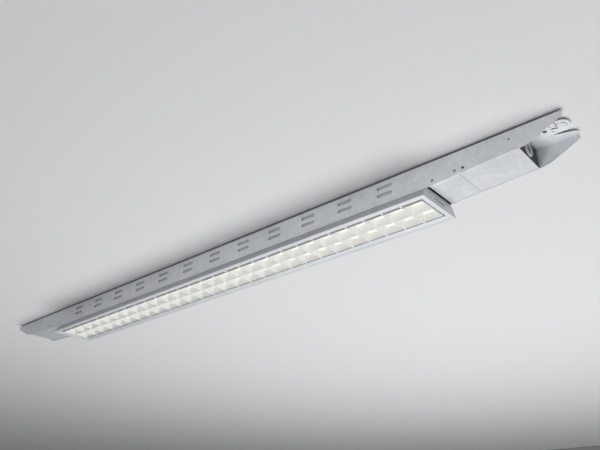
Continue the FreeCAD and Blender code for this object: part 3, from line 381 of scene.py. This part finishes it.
def make_louvre():
    """White wells with sloped walls between thin blades with painted shade on their undersides,
    and hangers beside them.
    """
    shape = bmesh.new()
    make_wells(shape)
    width, inner, outer, low, high = HANGER
    for blade in range(1, CELL_COLUMNS):
        x = (blade - CELL_COLUMNS / 2) * CELL_PITCH
        for near, far in ((inner, outer), (-outer, -inner)):
            box(shape, (x - width / 2, near, low), (x + width / 2, far, high))
    piece = finish_piece("louvre_wells", shape, "louvre_plastic")
    dress_some(piece, MATERIALS["blade_foot_painted_shade"], is_blade_foot)
    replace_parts(piece, "louvre")


def add_dome(shape, base, side, radius, height):
    """A low dome with a small flat top on a plane across y, its axis along y."""
    turned = Matrix.LocRotScale(
        Vector(base), Euler((-side * math.pi / 2, 0, 0)), Vector((radius, radius, height)))
    ball = bmesh.ops.create_uvsphere(
        shape, u_segments=DOME_SPOKES, v_segments=DOME_RINGS, radius=1, matrix=turned)["verts"]
    lowest, highest = DOME_KEPT
    spare = [vert for vert in ball
             if not lowest * height < side * (vert.co.y - base[1]) < highest * height]
    bmesh.ops.delete(shape, geom=spare, context="VERTS")
    open_edges = [edge for edge in shape.edges if edge.is_boundary]
    bmesh.ops.edgeloop_fill(shape, edges=open_edges)


def make_rivet_heads():
    """Domed rivet heads with a near-black dome as painted shade in each mandrel hole, and another
    as painted shade in the wall's open hole beside them.
    """
    domes, hole_shades = bmesh.new(), bmesh.new()
    hole_shade_start, hole_shade_radius, hole_shade_dome = HOLE_SHADE
    wall_hole_x, wall_hole_z, wall_hole_radius, wall_hole_dome, wall_hole_depth = WALL_HOLE_SHADE
    for end in (1, -1):
        for side in (1, -1):
            for x, z in RIVETS:
                add_dome(domes, (end * x, side * WALL_Y, z), side, RIVET_HEAD, RIVET_DOME)
                middle = (end * x, side * (WALL_Y + RIVET_DOME * hole_shade_start), z)
                add_dome(hole_shades, middle, side, RIVET_HEAD * hole_shade_radius, RIVET_DOME * hole_shade_dome)
            wall_hole_shade_place = (end * wall_hole_x, side * (WALL_Y - wall_hole_depth), wall_hole_z)
            add_dome(hole_shades, wall_hole_shade_place, side, wall_hole_radius, wall_hole_dome)
    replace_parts(finish_piece("rivet_domes", domes, "fastener_steel"), "cover_rivets")
    dress(finish_piece("painted_hole_shades", hole_shades, "fastener_steel"), MATERIALS["rivet_hole_painted_shade"])


def make_chips():
    """One LED behind each well, on the boards."""
    shape = bmesh.new()
    row_y, half, height = CHIP
    for column in range(CELL_COLUMNS):
        x = (column + 0.5 - CELL_COLUMNS / 2) * CELL_PITCH
        for y in (-row_y, row_y):
            box(shape, (x - half, y - half, LOUVRE_TOP - height), (x + half, y + half, LOUVRE_TOP))
    chips = finish_piece("led_chips", shape, "board_laminate")
    dress(chips, MATERIALS["led_phosphor"])


# ---------------------------------------------------------------- stage

def make_camera():
    camera = bpy.data.objects.new("camera", bpy.data.cameras.new("camera"))
    bpy.context.scene.collection.objects.link(camera)
    camera.data.lens = LENS_MM
    camera.data.sensor_width = SENSOR_MM
    camera.data.clip_start = NEAREST_SEEN
    camera.location = CAMERA_PLACE
    camera.rotation_euler = (math.pi / 2 + CAMERA_PITCH, 0, CAMERA_YAW)
    bpy.context.scene.camera = camera


def plain_sheet(name, z, facing, span):
    """A big square at height z that faces up or down."""
    mesh = bpy.data.meshes.new(name)
    half = span / 2
    corners = [(-half, -half, z), (half, -half, z), (half, half, z), (-half, half, z)]
    order = (0, 1, 2, 3) if facing > 0 else (3, 2, 1, 0)
    mesh.from_pydata(corners, [], [order])
    sheet = bpy.data.objects.new(name, mesh)
    bpy.context.scene.collection.objects.link(sheet)
    return sheet


def matt(name, colour):
    """Flat paint."""
    shader = Shader(name)
    shader.set(Base_Color=(*colour, 1), Roughness=0.9, Specular_IOR_Level=0.1)
    return shader


def make_stage():
    """A pale ceiling that shows only from below, and a pale floor far under the light."""
    ceiling = plain_sheet("ceiling", CEILING_GAP, -1, STAGE_SPAN)
    shader = matt("ceiling_paint", (0.83, 0.83, 0.835))
    clear = shader.nodes.new("ShaderNodeBsdfTransparent")
    mix = shader.nodes.new("ShaderNodeMixShader")
    side = shader.nodes.new("ShaderNodeNewGeometry")
    shader.link(side.outputs["Backfacing"], mix.inputs["Fac"])
    shader.link(shader.surface.outputs["BSDF"], mix.inputs[1])
    shader.link(clear.outputs["BSDF"], mix.inputs[2])
    shader.link(mix.outputs["Shader"], shader.nodes["Material Output"].inputs["Surface"])
    dress(ceiling, shader.material)
    floor = plain_sheet("floor", -FLOOR_DROP, 1, STAGE_SPAN)
    dress(floor, matt("floor_paint", (0.8, 0.8, 0.8)).material)


def make_lamp(name, place, target, size, watts):
    """A rectangular lamp that faces a point."""
    light = bpy.data.lights.new(name, "AREA")
    light.shape = "RECTANGLE"
    light.size, light.size_y = size
    light.energy = watts
    lamp = bpy.data.objects.new(name, light)
    bpy.context.scene.collection.objects.link(lamp)
    lamp.location = place
    direction = Vector(target) - Vector(place)
    lamp.rotation_euler = direction.to_track_quat("-Z", "Y").to_euler()
    return lamp


def reach(lamps, names):
    """Let lamps light only the pieces named."""
    group = bpy.data.collections.new("lit")
    for name in names:
        group.objects.link(bpy.data.objects[name])
    for lamp in lamps:
        lamp.light_linking.receiver_collection = group


def make_lights():
    """A dim sky and the lamps, three of which light only some pieces."""
    world = bpy.data.worlds.new("world")
    bpy.context.scene.world = world
    world.use_nodes = True
    sky = world.node_tree.nodes["Background"].inputs
    sky["Color"].default_value = SKY_COLOUR
    sky["Strength"].default_value = SKY_STRENGTH
    lamps = {name: make_lamp(name, *facts) for name, facts in LAMPS.items()}
    meshes = [piece.name for piece in bpy.context.scene.objects if piece.type == "MESH"]
    steel = [name for name in meshes if name not in ("ceiling", "floor", "louvre_wells")]
    reach([lamps["near"], lamps["steep"]], steel)
    reach([lamps["right"]], ["louvre_wells"])
    bpy.context.scene.view_settings.view_transform = "Standard"


make_camera()
make_stage()
MATERIALS = make_materials()
dress_nodes()
make_louvre()
make_rivet_heads()
make_chips()
make_lights()
